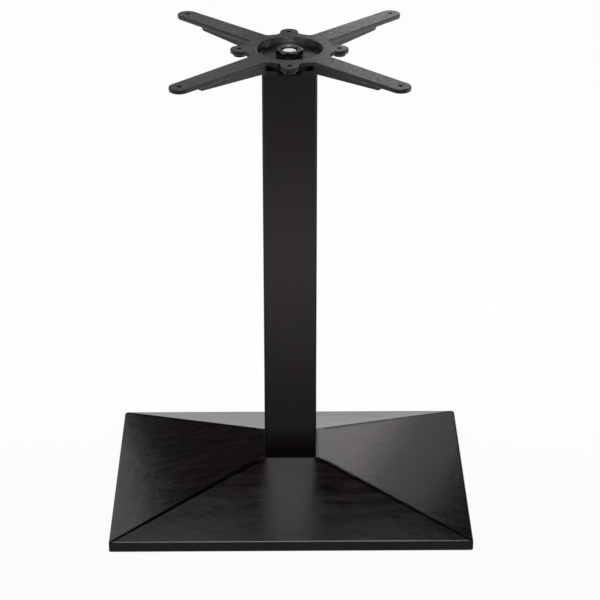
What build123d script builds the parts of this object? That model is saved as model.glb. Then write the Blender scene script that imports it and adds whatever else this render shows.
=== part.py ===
from build123d import *
import os

# Pedestal base for a table: a cast foot, a square steel column and a cast cross-shaped top,
# clamped together by one tie rod. Millimetres, +Z up, +X to the right, the front towards -Y.
# The origin is on the floor, under the middle of the column.

os.makedirs("parts", exist_ok=True)

# Driving dimensions: whole base
overall_height = 732.0

# Driving dimensions: cast foot
foot_width = 550.0
foot_depth = 400.0
foot_wall = 7.0
rim_clearance = 3.0
rim_height = 15.6
rim_corner_radius = 4.0
rim_edge_radius = 3.5
pyramid_rise = 56.0
seat_margin = 5.0
seat_edge_radius = 3.0
seat_boss_radius = 30.0
seat_boss_drop = 8.0
foot_rib_thickness = 7.0
foot_rib_depth = 18.0

# Driving dimensions: column tube
column_width = 80.0
column_wall = 2.0
column_corner_radius = 4.0
bore_corner_radius = 2.0
spigot_height = 8.0
spigot_wall = 7.0
spigot_clearance = 0.3

# Driving dimensions: top cross
arm_hole_spacing = 305.0
arm_hole_diameter = 7.0
arm_tip_radius = 15.0
arm_root_width = 36.0
plate_thickness = 6.5
plate_edge_radius = 1.2
plate_edge_chamfer = 1.0
ring_radius = 64.0
root_fillet = 9.0
lug_overhang = 8.0
lug_hole_diameter = 7.0
lug_end_radius = 13.5
lug_root_width = 33.0
lug_boss_depth = 4.0
lug_boss_radius = 10.5
lug_boss_taper = 20.0
arm_rib_thickness = 8.0
arm_rib_setback = 35.5
arm_rib_tip_depth = 16.0
arm_rib_root_depth = 25.0
arm_rib_corner_radius = 4.0
dish_radius = 48.0
dish_draft = 30.0
dish_floor_fillet = 3.0
dish_edge_radius = 2.0
hub_wall = 6.0
hub_floor = 7.0
hub_pocket_radius = 28.0
hub_pocket_depth = 10.0
column_cap_height = 7.0

# Driving dimensions: tie rod, nuts and washers
rod_diameter = 24.0
rod_end_chamfer = 2.0
rod_clearance = 1.0
rod_end_inset = 3.0
rod_tail = 4.0
thread_clearance = 0.1
nut_across_flats = 36.0
nut_corner_trim = 0.9
nut_height = 8.0
nut_inset = 0.5
nut_face_setback = 0.6
nut_cone_height = 1.4
nut_countersink = 0.8
washer_diameter = 39.0
washer_thickness = 1.5

# Driving dimensions: levelling feet
levelling_inset = 40.0
levelling_boss_radius = 12.0
stud_diameter = 8.0
stud_length = 20.0
stud_end_chamfer = 1.0
stud_hole_spare = 1.5
stud_clearance = 0.08
pad_radius = 16.0
pad_disc_height = 5.0
pad_edge_chamfer = 1.2
pad_collar_across_flats = 17.0
pad_collar_height = 4.0
pad_socket_depth = 6.0

# Heights above the floor
rim_top = rim_clearance + rim_height
seat_top = rim_top + pyramid_rise
seat_boss_bottom = seat_top - foot_wall - seat_boss_drop
dish_depth = nut_inset + nut_height + washer_thickness
dish_floor = overall_height - dish_depth
hub_pocket_top = dish_floor - hub_floor
column_top = hub_pocket_top - hub_pocket_depth
plate_bottom = overall_height - plate_thickness
rod_top = overall_height - nut_inset - rod_end_inset
lower_nut_bottom = seat_boss_bottom - washer_thickness - nut_height
rod_bottom = lower_nut_bottom - rod_tail
pad_top = pad_disc_height + pad_collar_height

# Sizes that follow from the driving dimensions
seat_size = column_width + 2 * seat_margin
bore_width = column_width - 2 * column_wall
spigot_width = bore_width - 2 * spigot_clearance
spigot_inner = spigot_width - 2 * spigot_wall
rod_radius = rod_diameter / 2
rod_hole_radius = rod_radius + rod_clearance
nut_face_radius = nut_across_flats / 2 - nut_face_setback
nut_corner_radius = nut_across_flats / 3**0.5 - nut_corner_trim
lug_reach = ring_radius + lug_overhang
arm_hole_reach = arm_hole_spacing / 2**0.5
arm_rib_reach = arm_hole_reach - arm_rib_setback
levelling_x = foot_width / 2 - levelling_inset
levelling_y = foot_depth / 2 - levelling_inset
levelling_reach = Vector(levelling_x, levelling_y).length
levelling_angle = Vector(levelling_x, levelling_y).get_angle(Vector(1, 0))
levelling_points = [(x, y) for y in (-levelling_y, levelling_y) for x in (-levelling_x, levelling_x)]
levelling_names = ("front_left", "front_right", "back_left", "back_right")
arm_angles = (45, 135, 225, 315)
tolerance = 0.01


# Outer form of the foot: upright rim below four sloping faces that meet in ridges
with BuildPart() as foot_form:
    with BuildSketch(Plane.XY.offset(rim_clearance)):
        RectangleRounded(foot_width, foot_depth, rim_corner_radius)
    extrude(amount=rim_height)
    with BuildSketch(Plane.XY.offset(rim_top)):
        RectangleRounded(foot_width, foot_depth, rim_corner_radius)
    with BuildSketch(Plane.XY.offset(seat_top)):
        RectangleRounded(seat_size, seat_size, rim_corner_radius)
    loft(ruled=True)

# Hollow underneath: the same form one wall lower, kept inside the rim
with BuildPart() as foot_hollow:
    with BuildSketch(Plane.XY.offset(rim_clearance - foot_wall)):
        RectangleRounded(foot_width - 2 * foot_wall, foot_depth - 2 * foot_wall, rim_corner_radius)
    extrude(amount=seat_top)
    add(foot_form.part.moved(Location((0, 0, -foot_wall))), mode=Mode.INTERSECT)

# Ribs from the middle boss to the corner bosses, one rib depth below the roof of the hollow
with BuildPart() as foot_ribs:
    with BuildSketch(Plane.XY.offset(pad_top)):
        for rib_angle in (levelling_angle, -levelling_angle):
            Rectangle(2 * levelling_reach, foot_rib_thickness, rotation=rib_angle)
        Circle(seat_boss_radius, mode=Mode.SUBTRACT)
    extrude(amount=seat_top - pad_top)
    add(foot_form.part.moved(Location((0, 0, -foot_wall / 2))), mode=Mode.INTERSECT)
    add(foot_form.part.moved(Location((0, 0, -foot_wall - foot_rib_depth))), mode=Mode.SUBTRACT)

# Bosses for the levelling studs, closed above by the sloping faces
with BuildPart() as levelling_bosses:
    with BuildSketch(Plane.XY.offset(pad_top)):
        with Locations(*levelling_points):
            Circle(levelling_boss_radius)
    extrude(amount=seat_top - pad_top)
    add(foot_form.part.moved(Location((0, 0, -foot_wall / 2))), mode=Mode.INTERSECT)

with BuildPart() as base_casting:
    add(foot_form.part)
    fillet(base_casting.edges().group_by(Axis.Z)[-1], seat_edge_radius)
    rim_edges = base_casting.edges().filter_by_position(Axis.Z, rim_top - tolerance, rim_top + tolerance)
    fillet(rim_edges, rim_edge_radius)
    add(foot_hollow.part, mode=Mode.SUBTRACT)
    add(foot_ribs.part)
    add(levelling_bosses.part)
    # Boss that takes the lower nut, and the square spigot that the column slips over
    with BuildSketch(Plane.XY.offset(seat_boss_bottom)):
        Circle(seat_boss_radius)
    extrude(amount=seat_boss_drop + foot_wall / 2)
    with BuildSketch(Plane.XY.offset(seat_top)):
        RectangleRounded(spigot_width, spigot_width, bore_corner_radius)
        Rectangle(spigot_inner, spigot_inner, mode=Mode.SUBTRACT)
    extrude(amount=spigot_height)
    with BuildSketch(Plane.XY.offset(seat_boss_bottom)):
        Circle(rod_hole_radius)
    extrude(amount=seat_top - seat_boss_bottom, mode=Mode.SUBTRACT)
    # Blind tapped holes for the studs
    with BuildSketch(Plane.XY.offset(pad_top)):
        with Locations(*levelling_points):
            Circle(stud_diameter / 2 + stud_clearance)
    extrude(amount=stud_length - pad_socket_depth + stud_hole_spare, mode=Mode.SUBTRACT)
base_casting.part.label = "base_casting"
export_step(base_casting.part, "parts/base_casting.step")

with BuildPart() as column_tube:
    with BuildSketch(Plane.XY.offset(seat_top)):
        RectangleRounded(column_width, column_width, column_corner_radius)
        RectangleRounded(bore_width, bore_width, bore_corner_radius, mode=Mode.SUBTRACT)
    extrude(amount=column_top - seat_top)
column_tube.part.label = "column_tube"
export_step(column_tube.part, "parts/column_tube.step")


# Plan of the top cross: four tapered arms on the diagonals, four short lugs and the ring
with BuildSketch() as arm_plan:
    Circle(arm_root_width / 2)
    with Locations((arm_hole_reach, 0)):
        Circle(arm_tip_radius)
    make_hull()

with BuildSketch() as lug_plan:
    Circle(lug_root_width / 2)
    with Locations((lug_reach, 0)):
        Circle(lug_end_radius)
    make_hull()

with BuildSketch(Plane.XY.offset(plate_bottom)) as cross_plan:
    Circle(ring_radius)
    with PolarLocations(0, 4, start_angle=45):
        add(arm_plan.sketch)
    with PolarLocations(0, 4):
        add(lug_plan.sketch)
    ring_corners = cross_plan.vertices().filter_by(
        lambda corner: abs(Vector(corner.X, corner.Y).length - ring_radius) < tolerance
    )
    fillet(ring_corners, root_fillet)

# Dish in the hub: a drafted wall, rounded into a flat floor
with BuildPart() as dish_form:
    with BuildSketch(Plane.XY.offset(overall_height)):
        Circle(dish_radius)
    extrude(amount=-dish_depth, taper=dish_draft)
    fillet(dish_form.edges().group_by(Axis.Z)[0], dish_floor_fillet)

with BuildPart() as top_spider:
    add(cross_plan.sketch)
    extrude(amount=plate_thickness)
    fillet(top_spider.faces().sort_by(Axis.Z)[-1].edges(), plate_edge_radius)
    chamfer(top_spider.faces().sort_by(Axis.Z)[0].edges(), plate_edge_chamfer)
    # Hub: a bowl that narrows to the column, and the square cap that sits on the tube
    with BuildSketch(Plane.XZ):
        with BuildLine():
            Polyline(
                (0, plate_bottom + plate_thickness / 2),
                (dish_radius + hub_wall, plate_bottom + plate_thickness / 2),
                (dish_radius + hub_wall, plate_bottom),
                (column_width / 2, column_top),
                (0, column_top),
                close=True,
            )
        make_face()
    revolve(axis=Axis.Z)
    with BuildSketch(Plane.XY.offset(column_top)):
        RectangleRounded(column_width, column_width, column_corner_radius)
    extrude(amount=column_cap_height)
    with BuildSketch(Plane.XY.offset(column_top - spigot_height)):
        RectangleRounded(spigot_width, spigot_width, bore_corner_radius)
        Rectangle(spigot_inner, spigot_inner, mode=Mode.SUBTRACT)
    extrude(amount=spigot_height)
    # Rib under each arm, deepest at the column
    for arm_angle in arm_angles:
        with BuildSketch(Plane.XZ.rotated((0, 0, arm_angle))):
            with BuildLine():
                Polyline(
                    (column_width / 2, plate_bottom + plate_thickness / 2),
                    (arm_rib_reach, plate_bottom + plate_thickness / 2),
                    (arm_rib_reach, overall_height - arm_rib_tip_depth),
                    (column_width / 2, overall_height - arm_rib_root_depth),
                    close=True,
                )
            rib_face = make_face()
            rib_toe = rib_face.vertices().group_by(Axis.X)[-1].sort_by(Axis.Y)[0]
            fillet(rib_toe, arm_rib_corner_radius)
        extrude(amount=arm_rib_thickness / 2, both=True)
    # Tapered boss under each lug
    with BuildSketch(Plane.XY.offset(plate_bottom)):
        with PolarLocations(lug_reach, 4):
            Circle(lug_boss_radius)
    extrude(amount=-lug_boss_depth, taper=lug_boss_taper)
    # Dish with its rounded lip, the pocket below it, then the holes for the rod and the screws
    add(dish_form.part, mode=Mode.SUBTRACT)
    dish_lip = top_spider.edges().group_by(Axis.Z)[-1].filter_by(lambda edge: edge.is_closed)
    fillet(dish_lip, dish_edge_radius)
    with BuildSketch(Plane.XY.offset(column_top)):
        Circle(hub_pocket_radius)
    extrude(amount=hub_pocket_depth, mode=Mode.SUBTRACT)
    with BuildSketch(Plane.XY.offset(column_top)):
        Circle(rod_hole_radius)
        with GridLocations(arm_hole_spacing, arm_hole_spacing, 2, 2):
            Circle(arm_hole_diameter / 2)
        with PolarLocations(lug_reach, 4):
            Circle(lug_hole_diameter / 2)
    extrude(amount=overall_height - column_top, mode=Mode.SUBTRACT)
top_spider.part.label = "top_spider"
export_step(top_spider.part, "parts/top_spider.step")

with BuildPart() as tie_rod:
    with BuildSketch(Plane.XY.offset(rod_bottom)):
        Circle(rod_radius)
    extrude(amount=rod_top - rod_bottom)
    chamfer(tie_rod.edges().filter_by(GeomType.CIRCLE), rod_end_chamfer)
tie_rod.part.label = "tie_rod"
export_step(tie_rod.part, "parts/tie_rod.step")

# Nut and washer at both ends of the rod: in the dish, and under the boss of the foot
rod_ends = (
    ("upper", dish_floor + washer_thickness, dish_floor),
    ("lower", lower_nut_bottom, lower_nut_bottom + nut_height),
)
for rod_end, nut_bottom, washer_bottom in rod_ends:
    nut_top = nut_bottom + nut_height

    with BuildPart() as washer:
        with BuildSketch(Plane.XY.offset(washer_bottom)):
            Circle(washer_diameter / 2)
            Circle(rod_hole_radius, mode=Mode.SUBTRACT)
        extrude(amount=washer_thickness)
    washer.part.label = f"{rod_end}_washer"
    export_step(washer.part, f"parts/{rod_end}_washer.step")

    # Turned blank with both ends coned, cut to a hexagon with a flat to the front
    with BuildPart() as nut:
        with BuildSketch(Plane.XZ):
            with BuildLine():
                Polyline(
                    (0, nut_bottom),
                    (nut_face_radius, nut_bottom),
                    (nut_corner_radius, nut_bottom + nut_cone_height),
                    (nut_corner_radius, nut_top - nut_cone_height),
                    (nut_face_radius, nut_top),
                    (0, nut_top),
                    close=True,
                )
            make_face()
        revolve(axis=Axis.Z)
        with BuildSketch(Plane.XY.offset(nut_bottom)):
            RegularPolygon(nut_across_flats / 2, 6, major_radius=False)
        extrude(amount=nut_height, mode=Mode.INTERSECT)
        with BuildSketch(Plane.XY.offset(nut_bottom)):
            Circle(rod_radius + thread_clearance)
        extrude(amount=nut_height, mode=Mode.SUBTRACT)
        bore_edges = nut.edges().filter_by(GeomType.CIRCLE).sort_by(SortBy.RADIUS)[:2]
        chamfer(bore_edges, nut_countersink)
    nut.part.label = f"{rod_end}_nut"
    export_step(nut.part, f"parts/{rod_end}_nut.step")

# Levelling feet, drawn screwed home against their bosses
for corner, (x, y) in zip(levelling_names, levelling_points):
    with BuildPart() as foot_stud:
        with BuildSketch(Plane((x, y, pad_top - pad_socket_depth))):
            Circle(stud_diameter / 2)
        extrude(amount=stud_length)
        chamfer(foot_stud.edges().group_by(Axis.Z)[-1], stud_end_chamfer)
    foot_stud.part.label = f"foot_stud_{corner}"
    export_step(foot_stud.part, f"parts/foot_stud_{corner}.step")

    with BuildPart() as foot_pad:
        with BuildSketch(Plane((x, y, 0))):
            Circle(pad_radius)
        extrude(amount=pad_disc_height)
        chamfer(foot_pad.edges().filter_by(GeomType.CIRCLE), pad_edge_chamfer)
        with BuildSketch(Plane((x, y, pad_disc_height))):
            RegularPolygon(pad_collar_across_flats / 2, 6, major_radius=False)
        extrude(amount=pad_collar_height)
        with BuildSketch(Plane((x, y, pad_top))):
            Circle(stud_diameter / 2 + stud_clearance)
        extrude(amount=-pad_socket_depth, mode=Mode.SUBTRACT)
    foot_pad.part.label = f"foot_pad_{corner}"
    export_step(foot_pad.part, f"parts/foot_pad_{corner}.step")
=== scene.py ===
import math

import bpy
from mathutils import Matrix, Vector


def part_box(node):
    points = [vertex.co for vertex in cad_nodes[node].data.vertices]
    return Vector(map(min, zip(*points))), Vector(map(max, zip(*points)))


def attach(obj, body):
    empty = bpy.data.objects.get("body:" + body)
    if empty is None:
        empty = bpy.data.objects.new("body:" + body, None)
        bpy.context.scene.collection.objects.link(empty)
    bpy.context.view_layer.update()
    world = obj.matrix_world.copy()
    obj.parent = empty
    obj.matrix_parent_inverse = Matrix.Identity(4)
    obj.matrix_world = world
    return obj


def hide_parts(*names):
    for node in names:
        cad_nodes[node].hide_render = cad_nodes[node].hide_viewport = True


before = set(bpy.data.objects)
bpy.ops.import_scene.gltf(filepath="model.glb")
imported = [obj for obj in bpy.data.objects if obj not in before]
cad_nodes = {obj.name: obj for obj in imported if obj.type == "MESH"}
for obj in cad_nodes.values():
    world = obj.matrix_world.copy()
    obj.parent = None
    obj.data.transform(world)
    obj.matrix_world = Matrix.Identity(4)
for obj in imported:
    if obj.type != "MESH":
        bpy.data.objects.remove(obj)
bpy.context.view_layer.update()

# Pedestal table base: black coated cast foot and top cross, square tube column, steel tie rod.
# Metres, +Z up, the front towards -Y, the origin on the floor under the column.

# Corner names of the four levelling feet
FOOT_CORNERS = ("front_left", "front_right", "back_left", "back_right")

# Screw threads of the rod and of the levelling studs: the shank's end chamfer, how far the thread sinks
# into it, and how far behind the end it starts. The rod's plain part is a hair thinner than the thread
# and covers its run-out.
ROD_PITCH = 0.003
ROD_THREAD_DEPTH = 0.0018
ROD_THREAD_LENGTH = 0.060
ROD_END_CHAMFER = 0.0006
ROD_THREAD_SINK = 0.0002
ROD_RUN_IN = 0.001
ROD_RUN_OUT = 0.002
ROD_PLAIN_INSET = 0.0001
ROD_PLAIN_CHAMFER = 0.001
STUD_PITCH = 0.00125
STUD_THREAD_DEPTH = 0.0008
STUD_END_CHAMFER = 0.0004
STUD_THREAD_SINK = 0.0001
STUD_RUN_IN = 0.0005

# Section of a thread: share of the pitch at its root, and share of that left at its crest
THREAD_ROOT_SHARE = 0.92
THREAD_CREST_SHARE = 0.18

# Meshes: steps of one turn of a thread, sides of a shank, the angle up to which faces are shaded as one,
# and how close two points are that count as level or as one
THREAD_STEPS = 40
SHANK_SIDES = 64
SMOOTH_ANGLE = math.radians(35)
LEVEL_WITHIN = 1e-7
MERGED_WITHIN = 1e-6

# Ridges of the foot: flat margin round the column, inset of the rounded ridge from its corners, half width
# of the painted dark line along it (painted shade for a dark reflection) and the share of it at the rim, the
# heights between which the line runs, and the lengths over which it fades at either end
SEAT_MARGIN = 0.005
RIDGE_INSET = 0.0012
RIDGE_WIDTH = 0.0075
RIDGE_WIDTH_AT_RIM = 0.35
RIDGE_LOW = 0.019
RIDGE_HIGH = 0.0735
RIDGE_FADE_LOW = 0.012
RIDGE_FADE_HIGH = 0.002

# Strokes in the foot's coat: their depth on the front and back faces and on the side faces
FRONT_STROKE_DEPTH = 0.11
SIDE_STROKE_DEPTH = 0.025

# Dish of the hub: reach of the painted shade on its floor and wall, and the depths between which it darkens
DISH_RADIUS = 0.044
DISH_LIP = 0.002
DISH_DARK_DEPTH = 0.006

# Light and dark tone of the bare rod and of the zinc on the studs
ROD_BRIGHT = (0.86, 0.86, 0.86, 1)
ROD_DARK = (0.70, 0.70, 0.70, 1)
ZINC_BRIGHT = (0.60, 0.61, 0.62, 1)
ZINC_DARK = (0.48, 0.49, 0.50, 1)

# Camera that took the photograph: lens and sensor in millimetres, and how far it sees in metres
CAMERA_PLACE = (-0.01282, -2.93835, 1.79419)
CAMERA_TURN = (math.radians(63.458), 0.0, math.radians(-0.546))
CAMERA_LENS = 129.22
CAMERA_SENSOR = 36.0
CAMERA_REACH = 100.0

# Studio floor, a hair below the pads. Its tones run from front to back: share of that way, grey, warmth. The
# dark tones near the base are a painted shadow, in the paper's diffuse colour and in what the coat mirrors.
FLOOR_SIZE = 40.0
FLOOR_GAP = 0.0002
FLOOR_TINT = (1.0, 0.93, 0.87)
FLOOR_FRONT = -1.6
FLOOR_BACK = 0.6
FLOOR_TONES_WITH_PAINTED_SHADE = (
    (0.0, 0.30, 1.0), (0.145, 0.56, 1.0), (0.305, 1.0, 1.0), (0.436, 0.57, 1.0), (0.509, 0.42, 1.0),
    (0.573, 0.28, 1.0), (0.627, 0.33, 1.0), (0.727, 0.45, 0.5), (0.955, 0.95, 0.0),
)

# How white the floor shows to the camera, how much of its tone the coat mirrors, and the near-black painted
# shade it shows when mirrored twice
FLOOR_SHOWN_WHITE = 0.95
FLOOR_MIRRORED = 0.9
FLOOR_TWICE_MIRRORED_SHADE = (0.008, 0.007, 0.006, 1)

# Room: even light on the base, and what the coat mirrors of the walls, the ceiling and the lit front half
WORLD_FILL = 0.50
ROOM_WALLS = 0.06
ROOM_CEILING = 0.02
ROOM_FRONT = 0.30

# Softboxes: name, place, what they face, width and height, watts, and turn about their own axis in degrees
LAMP_TINT = (1.0, 0.945, 1.0)
SOFTBOXES = (
    ("back_softbox", (0.25, 1.0, 0.77), (0.25, 0, 0.77), (0.40, 0.97), 1.93, 0.0),
    ("back_edge_softbox", (0.535, 1.0, 0.73), (0.535, 0, 0.73), (0.17, 0.87), 0.26, 0.0),
    ("upper_softbox", (-0.17, 1.0, 1.15), (-0.17, 0, 1.15), (0.26, 0.5), 0.30, 0.0),
    ("left_softbox", (-0.87, 1.0, 0.57), (-0.87, 0, 0.57), (0.5, 0.6), 0.80, -20.0),
    ("overhead_softbox", (-0.125, -0.095, 1.2), (-0.125, -0.095, 0), (0.85, 0.61), 1.7, -6.0),
    ("front_softbox", (0.0, -0.9, 2.66), (0, -0.04, 0.3), (1.1, 1.3), 27.0, 0.0),
    ("right_softbox", (1.7, 0.0, 0.8), (0, 0, 0.8), (0.9, 1.5), 7.4, 0.0),
    ("far_left_softbox", (-1.7, 0.0, 0.8), (0, 0, 0.8), (0.9, 1.5), 2.4, 0.0),
)


def add_node(tree, kind, values=None, **settings):
    """Places a node. A value that is another node's output is joined to that input, others are set on it."""
    placed = tree.nodes.new(kind)
    for name, setting in settings.items():
        setattr(placed, name, setting)
    for name, value in (values or {}).items():
        if isinstance(value, bpy.types.NodeSocket):
            tree.links.new(value, placed.inputs[name])
        else:
            placed.inputs[name].default_value = value
    return placed


def math_node(tree, operation, first, second=0.0, clamp=False):
    """Result of one sum on one or two values."""
    values = {0: first, 1: second}
    return add_node(tree, "ShaderNodeMath", values, operation=operation, use_clamp=clamp).outputs[0]


def mix_colour(tree, share, first, second):
    """Colour that goes from the first to the second by a share from 0 to 1."""
    mixer = add_node(tree, "ShaderNodeMix", {0: share, 6: first, 7: second}, data_type="RGBA")
    return mixer.outputs[2]


def spread(tree, value, low, high, new_low, new_high):
    """Stretches a value from one range to another, held inside the new one."""
    values = {"Value": value, "From Min": low, "From Max": high, "To Min": new_low, "To Max": new_high}
    return add_node(tree, "ShaderNodeMapRange", values).outputs["Result"]


def start_group(name, inputs, outputs):
    """Empty shader group with named number inputs and outputs, and its two end nodes."""
    group = bpy.data.node_groups.new(name, "ShaderNodeTree")
    for label, value in inputs.items():
        socket = group.interface.new_socket(name=label, in_out="INPUT", socket_type="NodeSocketFloat")
        socket.default_value = value
    for label in outputs:
        group.interface.new_socket(name=label, in_out="OUTPUT", socket_type="NodeSocketFloat")
    entry = group.nodes.new("NodeGroupInput")
    exit_node = group.nodes.new("NodeGroupOutput")
    return group, entry, exit_node


def make_orange_peel():
    """Fine ripple of a baked powder coat over the slow unevenness of what is under it."""
    inputs = {"Ripple Size": 0.0012, "Ripple Share": 0.5, "Swell Size": 0.03, "Swell Share": 0.5}
    group, entry, exit_node = start_group("Orange peel", inputs, ["Height"])
    place = add_node(group, "ShaderNodeTexCoord").outputs["Object"]
    ripple_scale = math_node(group, "DIVIDE", 1.0, entry.outputs["Ripple Size"])
    ripple = add_node(group, "ShaderNodeTexNoise", {"Vector": place, "Scale": ripple_scale, "Detail": 2.0})
    swell_scale = math_node(group, "DIVIDE", 1.0, entry.outputs["Swell Size"])
    swell = add_node(group, "ShaderNodeTexNoise", {"Vector": place, "Scale": swell_scale, "Detail": 3.0})
    ripple_height = math_node(group, "MULTIPLY", ripple.outputs[0], entry.outputs["Ripple Share"])
    swell_height = math_node(group, "MULTIPLY", swell.outputs[0], entry.outputs["Swell Share"])
    height = math_node(group, "ADD", ripple_height, swell_height)
    group.links.new(height, exit_node.inputs["Height"])
    return group


def make_wiped_streaks():
    """Long faint streaks, left where a coat was sprayed and later wiped along one direction."""
    inputs = {"Along X": 3.0, "Along Y": 60.0, "Along Z": 60.0}
    group, entry, exit_node = start_group("Wiped streaks", inputs, ["Streaks"])
    place = add_node(group, "ShaderNodeTexCoord").outputs["Object"]
    values = {0: entry.outputs["Along X"], 1: entry.outputs["Along Y"], 2: entry.outputs["Along Z"]}
    stretch = add_node(group, "ShaderNodeCombineXYZ", values)
    values = {0: place, 1: stretch.outputs[0]}
    drawn_out = add_node(group, "ShaderNodeVectorMath", values, operation="MULTIPLY").outputs[0]
    values = {"Vector": drawn_out, "Scale": 1.0, "Detail": 4.0, "Roughness": 0.6, "Distortion": 0.4}
    streak_noise = add_node(group, "ShaderNodeTexNoise", values)
    streaks = spread(group, streak_noise.outputs[0], 0.3, 0.7, 0.0, 1.0)
    group.links.new(streaks, exit_node.inputs["Streaks"])
    return group


def make_rubbed_edges():
    """Edges rubbed by handling: where the surface turns within a small radius, broken up by patches."""
    inputs = {"Edge Radius": 0.002, "Patch Size": 0.02}
    group, entry, exit_node = start_group("Rubbed edges", inputs, ["Rubbed"])
    place = add_node(group, "ShaderNodeTexCoord").outputs["Object"]
    rounded = add_node(group, "ShaderNodeBevel", {"Radius": entry.outputs["Edge Radius"]}, samples=6)
    flat = add_node(group, "ShaderNodeNewGeometry")
    values = {0: rounded.outputs[0], 1: flat.outputs["Normal"]}
    likeness = add_node(group, "ShaderNodeVectorMath", values, operation="DOT_PRODUCT")
    edge = spread(group, likeness.outputs["Value"], 0.985, 0.86, 0.0, 1.0)
    patch_scale = math_node(group, "DIVIDE", 1.0, entry.outputs["Patch Size"])
    patches = add_node(group, "ShaderNodeTexNoise", {"Vector": place, "Scale": patch_scale, "Detail": 6.0})
    patch = spread(group, patches.outputs[0], 0.42, 0.66, 0.0, 1.0)
    group.links.new(math_node(group, "MULTIPLY", edge, patch), exit_node.inputs["Rubbed"])
    return group


def make_turned_rings():
    """Rings of a lathe tool round an upright axis that stands alike in each quarter of the base."""
    inputs = {"Ring Width": 0.0004, "Axis X": 0.0, "Axis Y": 0.0}
    group, entry, exit_node = start_group("Turned rings", inputs, ["Rings"])
    place = add_node(group, "ShaderNodeTexCoord").outputs["Object"]
    quarter = add_node(group, "ShaderNodeVectorMath", {0: place}, operation="ABSOLUTE")
    axis = add_node(group, "ShaderNodeCombineXYZ", {0: entry.outputs["Axis X"], 1: entry.outputs["Axis Y"]})
    values = {0: quarter.outputs[0], 1: axis.outputs[0]}
    from_axis = add_node(group, "ShaderNodeVectorMath", values, operation="SUBTRACT")
    values = {0: from_axis.outputs[0], 1: (1.0, 1.0, 0.0)}
    flat = add_node(group, "ShaderNodeVectorMath", values, operation="MULTIPLY")
    radius = add_node(group, "ShaderNodeVectorMath", {0: flat.outputs[0]}, operation="LENGTH")
    turns = math_node(group, "DIVIDE", radius.outputs["Value"], entry.outputs["Ring Width"])
    ring_noise = add_node(group, "ShaderNodeTexNoise", {"W": turns, "Scale": 1.0}, noise_dimensions="1D")
    group.links.new(ring_noise.outputs[0], exit_node.inputs["Rings"])
    return group


orange_peel = make_orange_peel()
wiped_streaks = make_wiped_streaks()
rubbed_edges = make_rubbed_edges()
turned_rings = make_turned_rings()


def start_material(name):
    """New material, with its node tree and its shader."""
    material = bpy.data.materials.new(name)
    material.use_nodes = True
    return material, material.node_tree, material.node_tree.nodes["Principled BSDF"]


def place_group(tree, group, **values):
    """Puts a shared group in a material; a value's name has underscores for the spaces of its socket."""
    placed = tree.nodes.new("ShaderNodeGroup")
    placed.node_tree = group
    for name, value in values.items():
        placed.inputs[name.replace("_", " ")].default_value = value
    return placed.outputs[0]


def set_bump(tree, shader, height, distance, edge_radius=0.0):
    """Lets a height in shares of a distance shape the surface's normal, over edges that a coat rounds off."""
    bump = add_node(tree, "ShaderNodeBump", {"Height": height, "Distance": distance, "Strength": 1.0})
    if edge_radius:
        rounded = add_node(tree, "ShaderNodeBevel", {"Radius": edge_radius}, samples=8)
        tree.links.new(rounded.outputs["Normal"], bump.inputs["Normal"])
    tree.links.new(bump.outputs["Normal"], shader.inputs["Normal"])


def find_beside_ridge(tree):
    """Distance in plan from the foot's nearest ridge, above zero on the left and right faces."""
    foot_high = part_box("base_casting")[1]
    column_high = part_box("column_tube")[1]
    top = (column_high.x + SEAT_MARGIN - RIDGE_INSET, column_high.y + SEAT_MARGIN - RIDGE_INSET)
    rim = (foot_high.x - RIDGE_INSET, foot_high.y - RIDGE_INSET)
    run = Vector((rim[0] - top[0], rim[1] - top[1])).normalized()
    place = add_node(tree, "ShaderNodeTexCoord").outputs["Object"]
    quarter = add_node(tree, "ShaderNodeVectorMath", {0: place}, operation="ABSOLUTE")
    values = {0: quarter.outputs[0], 1: (*top, 0)}
    from_top = add_node(tree, "ShaderNodeVectorMath", values, operation="SUBTRACT")
    values = {0: from_top.outputs[0], 1: (run.y, -run.x, 0)}
    return add_node(tree, "ShaderNodeVectorMath", values, operation="DOT_PRODUCT").outputs["Value"]


def make_painted_ridge_lines(tree, beside_ridge):
    """Painted dark broken lines along the four ridges of the foot: painted shade standing in for a dark
    reflection there.
    """
    place = add_node(tree, "ShaderNodeTexCoord").outputs["Object"]
    height = add_node(tree, "ShaderNodeSeparateXYZ", {0: place}).outputs["Z"]
    reach = spread(tree, height, RIDGE_LOW, RIDGE_HIGH, RIDGE_WIDTH * RIDGE_WIDTH_AT_RIM, RIDGE_WIDTH)
    away = math_node(tree, "DIVIDE", math_node(tree, "ABSOLUTE", beside_ridge), reach)
    line = math_node(tree, "SUBTRACT", 1.0, away, clamp=True)
    strong = spread(tree, line, 0.0, 0.5, 0.0, 0.95)
    above_rim = spread(tree, height, RIDGE_LOW, RIDGE_LOW + RIDGE_FADE_LOW, 0.3, 1.0)
    below_seat = spread(tree, height, RIDGE_HIGH - RIDGE_FADE_HIGH, RIDGE_HIGH, 1.0, 0.0)
    spots = add_node(tree, "ShaderNodeTexNoise", {"Vector": place, "Scale": 160.0, "Detail": 3.0})
    broken = spread(tree, spots.outputs[0], 0.35, 0.55, 0.55, 1.0)
    length = math_node(tree, "MULTIPLY", above_rim, below_seat)
    return math_node(tree, "MULTIPLY", math_node(tree, "MULTIPLY", strong, length), broken)


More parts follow.
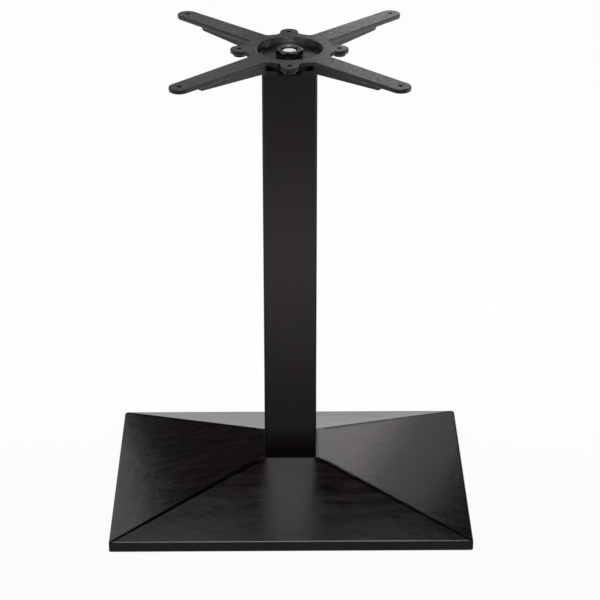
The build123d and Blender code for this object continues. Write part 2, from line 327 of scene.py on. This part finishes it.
def make_foot_coat():
    """Satin black coat on the cast foot: slow swells, strokes, faint streaks, rubbed edges, painted dark
    ridge lines.
    """
    material, tree, shader = start_material("foot_coat")
    peel = place_group(tree, orange_peel, Ripple_Size=0.0014, Ripple_Share=0.35,
                       Swell_Size=0.018, Swell_Share=1.25)
    front_strokes = place_group(tree, wiped_streaks, Along_X=20.0, Along_Y=150.0, Along_Z=150.0)
    side_strokes = place_group(tree, wiped_streaks, Along_X=110.0, Along_Y=20.0, Along_Z=110.0)
    streaks = place_group(tree, wiped_streaks, Along_X=9.0, Along_Y=80.0, Along_Z=80.0)
    rubbed = place_group(tree, rubbed_edges, Edge_Radius=0.003, Patch_Size=0.03)
    coat = mix_colour(tree, streaks, (0.0011, 0.0002, 0.0001, 1), (0.0062, 0.0038, 0.0026, 1))
    worn = math_node(tree, "MULTIPLY", rubbed, 0.5)
    rubbed_coat = mix_colour(tree, worn, coat, (0.012, 0.007, 0.003, 1))
    beside_ridge = find_beside_ridge(tree)
    # Painted shade: a dark line along each ridge, made dark and metallic there so that it reflects little
    ridge_painted_shade = make_painted_ridge_lines(tree, beside_ridge)
    colour = mix_colour(tree, ridge_painted_shade, rubbed_coat, (0.0024, 0.0010, 0.0002, 1))
    tree.links.new(colour, shader.inputs["Base Color"])
    tree.links.new(ridge_painted_shade, shader.inputs["Metallic"])
    tree.links.new(spread(tree, streaks, 0.0, 1.0, 0.135, 0.235), shader.inputs["Roughness"])
    on_sides = math_node(tree, "GREATER_THAN", beside_ridge, 0.0)
    front_depth = math_node(tree, "MULTIPLY", front_strokes, FRONT_STROKE_DEPTH)
    side_depth = math_node(tree, "MULTIPLY", side_strokes, SIDE_STROKE_DEPTH)
    strokes = spread(tree, on_sides, 0.0, 1.0, front_depth, side_depth)
    height = math_node(tree, "ADD", peel, strokes)
    set_bump(tree, shader, height, distance=0.00018, edge_radius=0.003)
    return material


def make_dish_shade(tree):
    """Mask of painted shade in the dish of the hub: its floor and wall below the lip, where the recess lies
    in shade.
    """
    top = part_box("top_spider")[1].z
    place = add_node(tree, "ShaderNodeTexCoord").outputs["Object"]
    flat = add_node(tree, "ShaderNodeVectorMath", {0: place, 1: (1, 1, 0)}, operation="MULTIPLY")
    radius = add_node(tree, "ShaderNodeVectorMath", {0: flat.outputs[0]}, operation="LENGTH")
    height = add_node(tree, "ShaderNodeSeparateXYZ", {0: place}).outputs["Z"]
    inside = math_node(tree, "LESS_THAN", radius.outputs["Value"], DISH_RADIUS)
    below_lip = spread(tree, height, top - DISH_LIP, top - DISH_DARK_DEPTH, 0.0, 1.0)
    return math_node(tree, "MULTIPLY", inside, below_lip)


def make_cross_coat():
    """Thin black coat on the rough sand-cast cross: the grain of the casting shows through it."""
    material, tree, shader = start_material("cross_coat")
    peel = place_group(tree, orange_peel, Ripple_Size=0.0026, Ripple_Share=0.8,
                       Swell_Size=0.012, Swell_Share=0.6)
    streaks = place_group(tree, wiped_streaks, Along_X=160.0, Along_Y=160.0, Along_Z=160.0)
    rubbed = place_group(tree, rubbed_edges, Edge_Radius=0.0022, Patch_Size=0.012)
    coat = mix_colour(tree, streaks, (0.0005, 0.0003, 0.0003, 1), (0.0090, 0.0078, 0.0078, 1))
    worn = math_node(tree, "MULTIPLY", rubbed, 0.5)
    rubbed_coat = mix_colour(tree, worn, coat, (0.09, 0.088, 0.085, 1))
    # Painted shade in the dish: darker colour, more metallic and smoother below the lip
    dark = make_dish_shade(tree)
    colour = mix_colour(tree, dark, rubbed_coat, (0.010, 0.009, 0.008, 1))
    tree.links.new(colour, shader.inputs["Base Color"])
    tree.links.new(math_node(tree, "MULTIPLY", dark, 0.6), shader.inputs["Metallic"])
    rough = spread(tree, streaks, 0.0, 1.0, 0.24, 0.44)
    tree.links.new(spread(tree, dark, 0.0, 1.0, rough, 0.2), shader.inputs["Roughness"])
    set_bump(tree, shader, peel, distance=0.00028)
    return material


def make_column_coat():
    """Flat smooth black coat on the drawn tube, with very faint upright draw lines."""
    material, tree, shader = start_material("column_coat")
    peel = place_group(tree, orange_peel, Ripple_Size=0.0011, Ripple_Share=0.4,
                       Swell_Size=0.05, Swell_Share=0.4)
    lines = place_group(tree, wiped_streaks, Along_X=180.0, Along_Y=180.0, Along_Z=3.0)
    colour = mix_colour(tree, lines, (0.0020, 0.0008, 0.0004, 1), (0.0026, 0.0013, 0.0009, 1))
    tree.links.new(colour, shader.inputs["Base Color"])
    tree.links.new(spread(tree, lines, 0.0, 1.0, 0.22, 0.25), shader.inputs["Roughness"])
    set_bump(tree, shader, peel, distance=0.00004)
    return material


def make_steel(name, piece, bright, dark, rough, ring_width, metal):
    """Bare or plated steel with turned rings about a piece's axis and a mottled finish."""
    material, tree, shader = start_material(name)
    low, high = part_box(piece)
    axis_x, axis_y = abs(low.x + high.x) / 2, abs(low.y + high.y) / 2
    rings = place_group(tree, turned_rings, Ring_Width=ring_width, Axis_X=axis_x, Axis_Y=axis_y)
    mottle = place_group(tree, wiped_streaks, Along_X=220.0, Along_Y=220.0, Along_Z=220.0)
    tree.links.new(mix_colour(tree, mottle, dark, bright), shader.inputs["Base Color"])
    tree.links.new(spread(tree, mottle, 0.0, 1.0, rough, rough + 0.12), shader.inputs["Roughness"])
    shader.inputs["Metallic"].default_value = metal
    set_bump(tree, shader, rings, distance=0.00003)
    return material


def make_black_oxide(name, rub_and_highlight):
    """Dark oxide on nuts and washers, bright along the edges that a wrench meets: partly wear, partly a
    painted highlight.
    """
    material, tree, shader = start_material(name)
    mottle = place_group(tree, wiped_streaks, Along_X=220.0, Along_Y=220.0, Along_Z=220.0)
    rubbed = place_group(tree, rubbed_edges, Edge_Radius=0.0012, Patch_Size=0.006)
    oxide = mix_colour(tree, mottle, (0.045, 0.043, 0.043, 1), (0.085, 0.082, 0.082, 1))
    # Bright edges: partly wear, partly a painted highlight, made less metallic so they stay light whatever
    # they reflect
    bright = math_node(tree, "MULTIPLY", rubbed, rub_and_highlight, clamp=True)
    tree.links.new(mix_colour(tree, bright, oxide, (0.50, 0.50, 0.50, 1)), shader.inputs["Base Color"])
    tree.links.new(spread(tree, mottle, 0.0, 1.0, 0.30, 0.42), shader.inputs["Roughness"])
    tree.links.new(spread(tree, bright, 0.0, 1.0, 1.0, 0.4), shader.inputs["Metallic"])
    set_bump(tree, shader, mottle, distance=0.00003)
    return material


def make_pad_nylon():
    """Moulded black nylon with a fine matt texture."""
    material, tree, shader = start_material("pad_nylon")
    peel = place_group(tree, orange_peel, Ripple_Size=0.0005, Ripple_Share=0.8,
                       Swell_Size=0.01, Swell_Share=0.3)
    scuffs = place_group(tree, wiped_streaks, Along_X=300.0, Along_Y=90.0, Along_Z=300.0)
    colour = mix_colour(tree, scuffs, (0.011, 0.011, 0.012, 1), (0.022, 0.022, 0.022, 1))
    tree.links.new(colour, shader.inputs["Base Color"])
    tree.links.new(spread(tree, scuffs, 0.0, 1.0, 0.52, 0.66), shader.inputs["Roughness"])
    set_bump(tree, shader, peel, distance=0.00005)
    return material


def dress(node_name, material):
    """Gives a CAD node its finish."""
    slots = cad_nodes[node_name].data.materials
    slots.clear()
    slots.append(material)


foot_coat = make_foot_coat()
cross_coat = make_cross_coat()
column_coat = make_column_coat()
rod_steel = make_steel("rod_steel", "tie_rod", ROD_BRIGHT, ROD_DARK,
                       rough=0.32, ring_width=0.0004, metal=0.35)
nut_oxide = make_black_oxide("nut_oxide", rub_and_highlight=1.4)
washer_oxide = make_black_oxide("washer_oxide", rub_and_highlight=0.15)
stud_steel = make_steel("stud_steel", "foot_stud_back_right", ZINC_BRIGHT, ZINC_DARK,
                        rough=0.30, ring_width=0.0005, metal=0.9)
pad_nylon = make_pad_nylon()

dress("base_casting", foot_coat)
dress("column_tube", column_coat)
dress("top_spider", cross_coat)
for rod_end in ("upper", "lower"):
    dress(f"{rod_end}_nut", nut_oxide)
    dress(f"{rod_end}_washer", washer_oxide)
for corner in FOOT_CORNERS:
    dress(f"foot_pad_{corner}", pad_nylon)


def pick(pieces):
    """Selects some pieces and nothing else, the first of them as the active one."""
    bpy.ops.object.select_all(action="DESELECT")
    for piece in pieces:
        piece.select_set(True)
    bpy.context.view_layer.objects.active = pieces[0]


def edit(piece):
    """Opens one piece, and only that one, for editing."""
    pick([piece])
    bpy.ops.object.mode_set(mode="EDIT")


def close_edit():
    """Ends the editing of a piece."""
    bpy.ops.object.mode_set(mode="OBJECT")


def settle(piece):
    """Puts a piece's place, turn and scale into its mesh."""
    pick([piece])
    bpy.ops.object.transform_apply(location=True, rotation=True, scale=True)


def make_shank(name, axis, radius, low, high, end_chamfer):
    """Round shank with both ends chamfered."""
    bpy.ops.object.select_all(action="DESELECT")
    place = (axis[0], axis[1], (low + high) / 2)
    length = high - low
    bpy.ops.mesh.primitive_cylinder_add(vertices=SHANK_SIDES, radius=radius, depth=length, location=place)
    shank = bpy.context.active_object
    shank.name = name
    settle(shank)
    edit(shank)
    bpy.ops.mesh.select_mode(type="EDGE")
    bpy.ops.mesh.select_all(action="DESELECT")
    close_edit()
    for edge in shank.data.edges:
        heights = [shank.data.vertices[i].co.z for i in edge.vertices]
        edge.select = abs(heights[0] - heights[1]) < LEVEL_WITHIN
    edit(shank)
    bpy.ops.mesh.bevel(offset=end_chamfer, segments=1, affect="EDGES")
    close_edit()
    return shank


def make_thread(axis, root_radius, crest_radius, pitch, low, high):
    """Screw thread without its shank: a trapezoid wound up the axis."""
    bpy.ops.object.select_all(action="DESELECT")
    depth = crest_radius - root_radius
    bpy.ops.mesh.primitive_plane_add(size=1, location=(0, 0, 0), rotation=(math.pi / 2, 0, 0))
    thread = bpy.context.active_object
    thread.scale = (depth, pitch * THREAD_ROOT_SHARE, 1)
    thread.location = (root_radius + depth / 2, 0, low + pitch / 2)
    settle(thread)
    edit(thread)
    bpy.ops.mesh.select_mode(type="VERT")
    bpy.ops.mesh.delete(type="ONLY_FACE")
    bpy.ops.mesh.select_all(action="DESELECT")
    close_edit()
    for vertex in thread.data.vertices:
        vertex.select = vertex.co.x > root_radius + depth / 2
    edit(thread)
    crest = (crest_radius, 0, low + pitch / 2)
    bpy.ops.transform.resize(value=(1, 1, THREAD_CREST_SHARE), center_override=crest)
    close_edit()
    winding = thread.modifiers.new("winding", "SCREW")
    winding.axis = "Z"
    winding.screw_offset = pitch
    winding.iterations = int((high - low) / pitch) - 1
    winding.steps = winding.render_steps = THREAD_STEPS
    winding.use_merge_vertices = True
    winding.merge_threshold = MERGED_WITHIN
    bpy.ops.object.modifier_apply(modifier="winding")
    edit(thread)
    bpy.ops.mesh.select_all(action="SELECT")
    bpy.ops.mesh.fill_holes(sides=8)
    bpy.ops.mesh.normals_make_consistent(inside=False)
    close_edit()
    thread.location = (axis[0], axis[1], 0)
    settle(thread)
    return thread


def join(pieces):
    """Makes several pieces one, kept under the first one's name."""
    pick(pieces)
    bpy.ops.object.join()
    bpy.ops.object.shade_smooth_by_angle(angle=SMOOTH_ANGLE)


def make_tie_rod():
    """Rod with a rolled thread at both ends for the nuts."""
    low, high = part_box("tie_rod")
    radius = (high.x - low.x) / 2
    root = radius - ROD_THREAD_DEPTH
    axis = (0, 0)
    rod = make_shank("tie_rod_threaded", axis, root, low.z, high.z, ROD_END_CHAMFER)
    lower_end = low.z + ROD_THREAD_LENGTH
    upper_start = high.z - ROD_THREAD_LENGTH
    plain_radius = radius - ROD_PLAIN_INSET
    plain = make_shank("plain_part", axis, plain_radius, lower_end, upper_start, ROD_PLAIN_CHAMFER)
    lower_span = (low.z + ROD_RUN_IN, lower_end + ROD_RUN_OUT)
    upper_span = (upper_start - ROD_RUN_OUT, high.z - ROD_RUN_IN)
    thread_root = root - ROD_THREAD_SINK
    lower_thread = make_thread(axis, thread_root, radius, ROD_PITCH, *lower_span)
    upper_thread = make_thread(axis, thread_root, radius, ROD_PITCH, *upper_span)
    join([rod, plain, lower_thread, upper_thread])
    rod.data.materials.append(rod_steel)
    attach(rod, "pedestal")
    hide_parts("tie_rod")


def make_foot_stud(corner):
    """Threaded stud of one levelling foot."""
    low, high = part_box(f"foot_stud_{corner}")
    axis = ((low.x + high.x) / 2, (low.y + high.y) / 2)
    radius = (high.x - low.x) / 2
    root = radius - STUD_THREAD_DEPTH
    stud = make_shank(f"stud_threaded_{corner}", axis, root, low.z, high.z, STUD_END_CHAMFER)
    start, stop = low.z + STUD_RUN_IN, high.z - STUD_RUN_IN
    thread = make_thread(axis, root - STUD_THREAD_SINK, radius, STUD_PITCH, start, stop)
    join([stud, thread])
    stud.data.materials.append(stud_steel)
    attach(stud, f"levelling_foot_{corner}")
    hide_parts(f"foot_stud_{corner}")


make_tie_rod()
for corner in FOOT_CORNERS:
    make_foot_stud(corner)


def make_studio_paper():
    """Pale paper that shows white to the camera, keeps a soft shadow plus a painted shadow in its tones, and
    is clear from below.
    """
    material = bpy.data.materials.new("studio_paper")
    material.use_nodes = True
    tree = material.node_tree
    tree.nodes.clear()
    ray = add_node(tree, "ShaderNodeLightPath")
    place = add_node(tree, "ShaderNodeTexCoord").outputs["Object"]
    depth = add_node(tree, "ShaderNodeSeparateXYZ", {0: place}).outputs["Y"]
    way = spread(tree, depth, FLOOR_FRONT, FLOOR_BACK, 0.0, 1.0)
    # Painted shadow: the paper's tone is darker in bands near the base
    tone = add_node(tree, "ShaderNodeValToRGB", {"Fac": way})
    stops = tone.color_ramp.elements
    while len(stops) < len(FLOOR_TONES_WITH_PAINTED_SHADE):
        stops.new(1.0)
    for stop, (share, grey, warmth) in zip(stops, FLOOR_TONES_WITH_PAINTED_SHADE):
        stop.position = share
        stop.color = [grey * (1 - warmth + warmth * channel) for channel in FLOOR_TINT] + [1]
    paper = add_node(tree, "ShaderNodeBsdfDiffuse", {"Color": tone.outputs["Color"]})
    # Painted shade: mirrored twice, the floor shows near black
    second = math_node(tree, "GREATER_THAN", ray.outputs["Glossy Depth"], 1.5)
    once_or_twice = mix_colour(tree, second, tone.outputs["Color"], FLOOR_TWICE_MIRRORED_SHADE)
    shown_colour = mix_colour(tree, ray.outputs["Is Camera Ray"], once_or_twice, (1, 1, 1, 1))
    glow = add_node(tree, "ShaderNodeEmission", {"Color": shown_colour, "Strength": 1.0})
    shown = math_node(tree, "MULTIPLY", ray.outputs["Is Camera Ray"], FLOOR_SHOWN_WHITE)
    mirror = math_node(tree, "MAXIMUM", ray.outputs["Is Glossy Ray"], ray.outputs["Is Transmission Ray"])
    mirrored_share = spread(tree, second, 0.0, 1.0, FLOOR_MIRRORED, 1.0)
    mirrored = math_node(tree, "MULTIPLY", mirror, mirrored_share)
    share = math_node(tree, "MAXIMUM", shown, mirrored)
    values = {0: share, 1: paper.outputs[0], 2: glow.outputs[0]}
    surface = add_node(tree, "ShaderNodeMixShader", values)
    underside = add_node(tree, "ShaderNodeNewGeometry").outputs["Backfacing"]
    from_below = math_node(tree, "MULTIPLY", ray.outputs["Is Camera Ray"], underside)
    clear = add_node(tree, "ShaderNodeBsdfTransparent")
    values = {0: from_below, 1: surface.outputs[0], 2: clear.outputs[0]}
    seen = add_node(tree, "ShaderNodeMixShader", values)
    end = add_node(tree, "ShaderNodeOutputMaterial")
    tree.links.new(seen.outputs[0], end.inputs["Surface"])
    return material


def make_floor():
    """Studio floor under the base, with a painted shadow in its tones."""
    bpy.ops.object.select_all(action="DESELECT")
    bpy.ops.mesh.primitive_plane_add(size=FLOOR_SIZE, location=(0, 0, -FLOOR_GAP))
    floor = bpy.context.active_object
    floor.name = "studio_floor"
    settle(floor)
    floor.data.materials.append(make_studio_paper())


def make_world():
    """Dim even room light, white where the camera looks past the floor."""
    world = bpy.data.worlds.new("studio_room")
    world.use_nodes = True
    tree = world.node_tree
    tree.nodes.clear()
    ray = add_node(tree, "ShaderNodeLightPath")
    direction = add_node(tree, "ShaderNodeTexCoord").outputs["Generated"]
    heading = add_node(tree, "ShaderNodeSeparateXYZ", {0: direction})
    behind = spread(tree, heading.outputs["Z"], 0.1, 0.8, ROOM_WALLS, ROOM_CEILING)
    mirrored = spread(tree, heading.outputs["Y"], 0.1, -0.6, behind, ROOM_FRONT)
    plain = spread(tree, ray.outputs["Is Glossy Ray"], 0.0, 1.0, WORLD_FILL, mirrored)
    level = spread(tree, ray.outputs["Is Camera Ray"], 0.0, 1.0, plain, 1.0)
    sky = add_node(tree, "ShaderNodeBackground", {"Color": (1, 1, 1, 1), "Strength": level})
    end = add_node(tree, "ShaderNodeOutputWorld")
    tree.links.new(sky.outputs[0], end.inputs["Surface"])
    bpy.context.scene.world = world


def make_softbox(name, place, target, size, watts, spin):
    """Soft lamp that faces a target, turned about its own axis by some degrees, and isn't seen itself."""
    lamp_data = bpy.data.lights.new(name, "AREA")
    lamp_data.shape = "RECTANGLE"
    lamp_data.size, lamp_data.size_y = size
    lamp_data.energy = watts
    lamp_data.color = LAMP_TINT
    lamp = bpy.data.objects.new(name, lamp_data)
    lamp.location = place
    lamp.rotation_euler = (Vector(target) - Vector(place)).to_track_quat("-Z", "Y").to_euler()
    lamp.rotation_euler.rotate_axis("Z", math.radians(spin))
    lamp.visible_camera = False
    bpy.context.scene.collection.objects.link(lamp)


def make_camera():
    """Camera at the photograph's viewing angle."""
    camera_data = bpy.data.cameras.new("photo_camera")
    camera_data.lens = CAMERA_LENS
    camera_data.sensor_width = CAMERA_SENSOR
    camera_data.clip_end = CAMERA_REACH
    camera = bpy.data.objects.new("photo_camera", camera_data)
    camera.location = CAMERA_PLACE
    camera.rotation_euler = CAMERA_TURN
    bpy.context.scene.collection.objects.link(camera)
    bpy.context.scene.camera = camera


make_floor()
make_world()
for softbox in SOFTBOXES:
    make_softbox(*softbox)
make_camera()
bpy.context.scene.view_settings.view_transform = "Standard"
